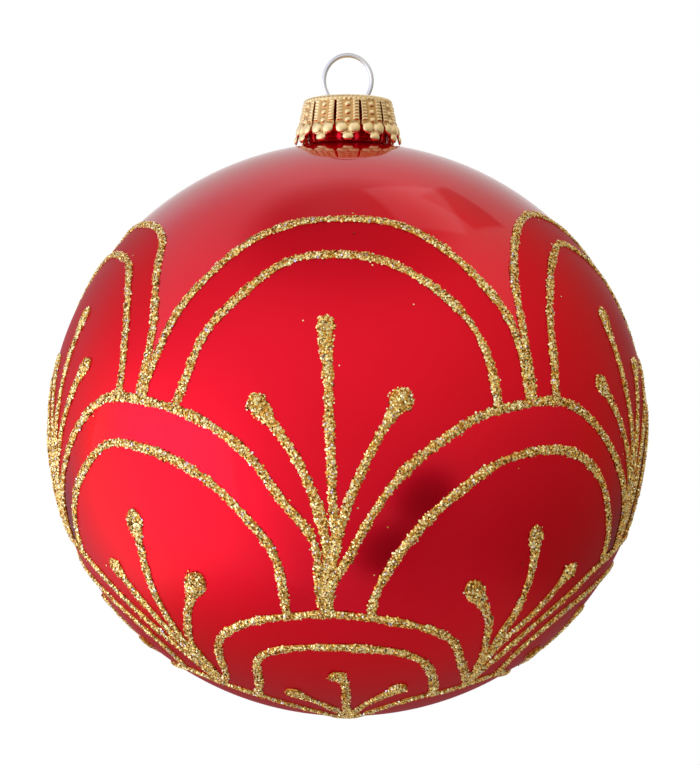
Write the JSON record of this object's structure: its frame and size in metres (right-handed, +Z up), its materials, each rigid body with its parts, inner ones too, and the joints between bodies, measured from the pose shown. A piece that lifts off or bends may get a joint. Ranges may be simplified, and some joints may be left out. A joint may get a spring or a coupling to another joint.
{
  "type": "glass ball ornament",
  "caption": "Round silvered-glass ball ornament with scallops drawn in glitter, a stamped crown cap and a wire loop to hang it by.",
  "frame": {"origin": "hang point: the inside top of the wire hanger's loop, where a hook carries the ornament", "axes": "+Z up along the neck and ball axis, -Y towards the front, +X to the right; the loop lies in the XZ plane"},
  "size_m": [0.1222, 0.1222, 0.1318],
  "materials": {
    "red_glass": "blown glass, silvered inside and lacquered red, part glossy and part satin",
    "gold_glitter": "gold hexagonal film flakes set in clear glue",
    "gold_cap": "stamped thin sheet, satin gold lacquer",
    "steel_wire": "drawn spring wire, nickel plated"
  },
  "bodies": {
    "hanger": {"wire_hanger": "steel_wire"},
    "cap": {"crown_cap": "gold_cap"},
    "ball": {"glass_ball": "red_glass", "row_1_scallops": "gold_glitter", "row_1_inner_arch_1": "gold_glitter", "row_1_inner_arch_2": "gold_glitter", "row_1_inner_arch_3": "gold_glitter", "row_1_inner_arch_4": "gold_glitter", "row_1_inner_arch_5": "gold_glitter", "row_1_inner_arch_6": "gold_glitter", "row_1_spray_1": "gold_glitter", "row_1_spray_2": "gold_glitter", "row_1_spray_3": "gold_glitter", "row_1_spray_4": "gold_glitter", "row_1_spray_5": "gold_glitter", "row_1_spray_6": "gold_glitter", "row_2_scallops": "gold_glitter", "row_2_inner_arch_1": "gold_glitter", "row_2_inner_arch_2": "gold_glitter", "row_2_inner_arch_3": "gold_glitter", "row_2_inner_arch_4": "gold_glitter", "row_2_inner_arch_5": "gold_glitter", "row_2_inner_arch_6": "gold_glitter", "row_2_spray_1": "gold_glitter", "row_2_spray_2": "gold_glitter", "row_2_spray_3": "gold_glitter", "row_2_spray_4": "gold_glitter", "row_2_spray_5": "gold_glitter", "row_2_spray_6": "gold_glitter", "row_3_scallops": "gold_glitter", "row_3_inner_arch_1": "gold_glitter", "row_3_inner_arch_2": "gold_glitter", "row_3_inner_arch_3": "gold_glitter", "row_3_inner_arch_4": "gold_glitter", "row_3_inner_arch_5": "gold_glitter", "row_3_inner_arch_6": "gold_glitter", "row_3_spray_1": "gold_glitter", "row_3_spray_2": "gold_glitter", "row_3_spray_3": "gold_glitter", "row_3_spray_4": "gold_glitter", "row_3_spray_5": "gold_glitter", "row_3_spray_6": "gold_glitter", "row_4_scallops": "gold_glitter"}
  },
  "joints": [
    {"name": "hanger_rock", "type": "hinge", "parent": "hanger", "child": "cap", "pos_m": [0, 0, -0.0081], "axis": [1, 0, 0], "range_deg": [-5, 5]},
    {"name": "ball_pull", "type": "slide", "parent": "cap", "child": "ball", "axis": [0, 0, -1], "range_m": [0, 0.03]}
  ]
}
